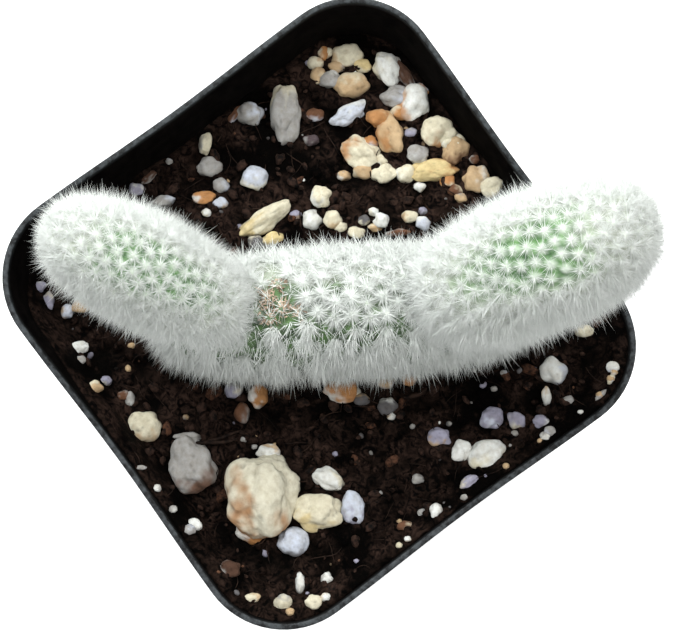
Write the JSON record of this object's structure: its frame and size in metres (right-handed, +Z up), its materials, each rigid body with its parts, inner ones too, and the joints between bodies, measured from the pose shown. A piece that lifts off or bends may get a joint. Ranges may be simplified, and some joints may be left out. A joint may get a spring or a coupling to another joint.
{
  "type": "potted bunny ears cactus",
  "caption": "Small cactus of flat spiny pads, two ears growing from a base pad, in a square black nursery pot of dark soil with pale stones.",
  "frame": {"origin": "centre of the pot's foot, on the surface it stands on", "axes": "+Z up; X and Y square to the sides of the pot; the row of pads runs along the diagonal, 53.6 degrees from +X, with the right ear towards +Y"},
  "size_m": [0.0642, 0.0709, 0.0948],
  "materials": {
    "black_plastic": "satin",
    "potting_soil": "matte",
    "spiny_green_skin": "matte",
    "pale_pumice": "matte"
  },
  "bodies": {
    "root": {"base_pad": "spiny_green_skin", "beige_stone": "pale_pumice", "big_pumice": "pale_pumice", "blue_white_stone_back": "pale_pumice", "blue_white_stone_front": "pale_pumice", "bright_stone_right": "pale_pumice", "brown_cream_stone": "pale_pumice", "cream_stone_front": "pale_pumice", "cream_stone_left": "pale_pumice", "grey_stone_left": "pale_pumice", "left_ear": "spiny_green_skin", "long_cream_stone": "pale_pumice", "orange_cream_stone": "pale_pumice", "orange_stone": "pale_pumice", "pitted_stone_front": "pale_pumice", "pot": "black_plastic", "right_ear": "spiny_green_skin", "round_cream_stone": "pale_pumice", "soil": "potting_soil", "tall_grey_stone": "pale_pumice", "tan_stone": "pale_pumice", "tan_white_stone": "pale_pumice", "white_orange_stone": "pale_pumice", "white_stone_back": "pale_pumice", "white_stone_front": "pale_pumice", "white_stone_right": "pale_pumice", "yellow_stone": "pale_pumice"}
  },
  "joints": []
}
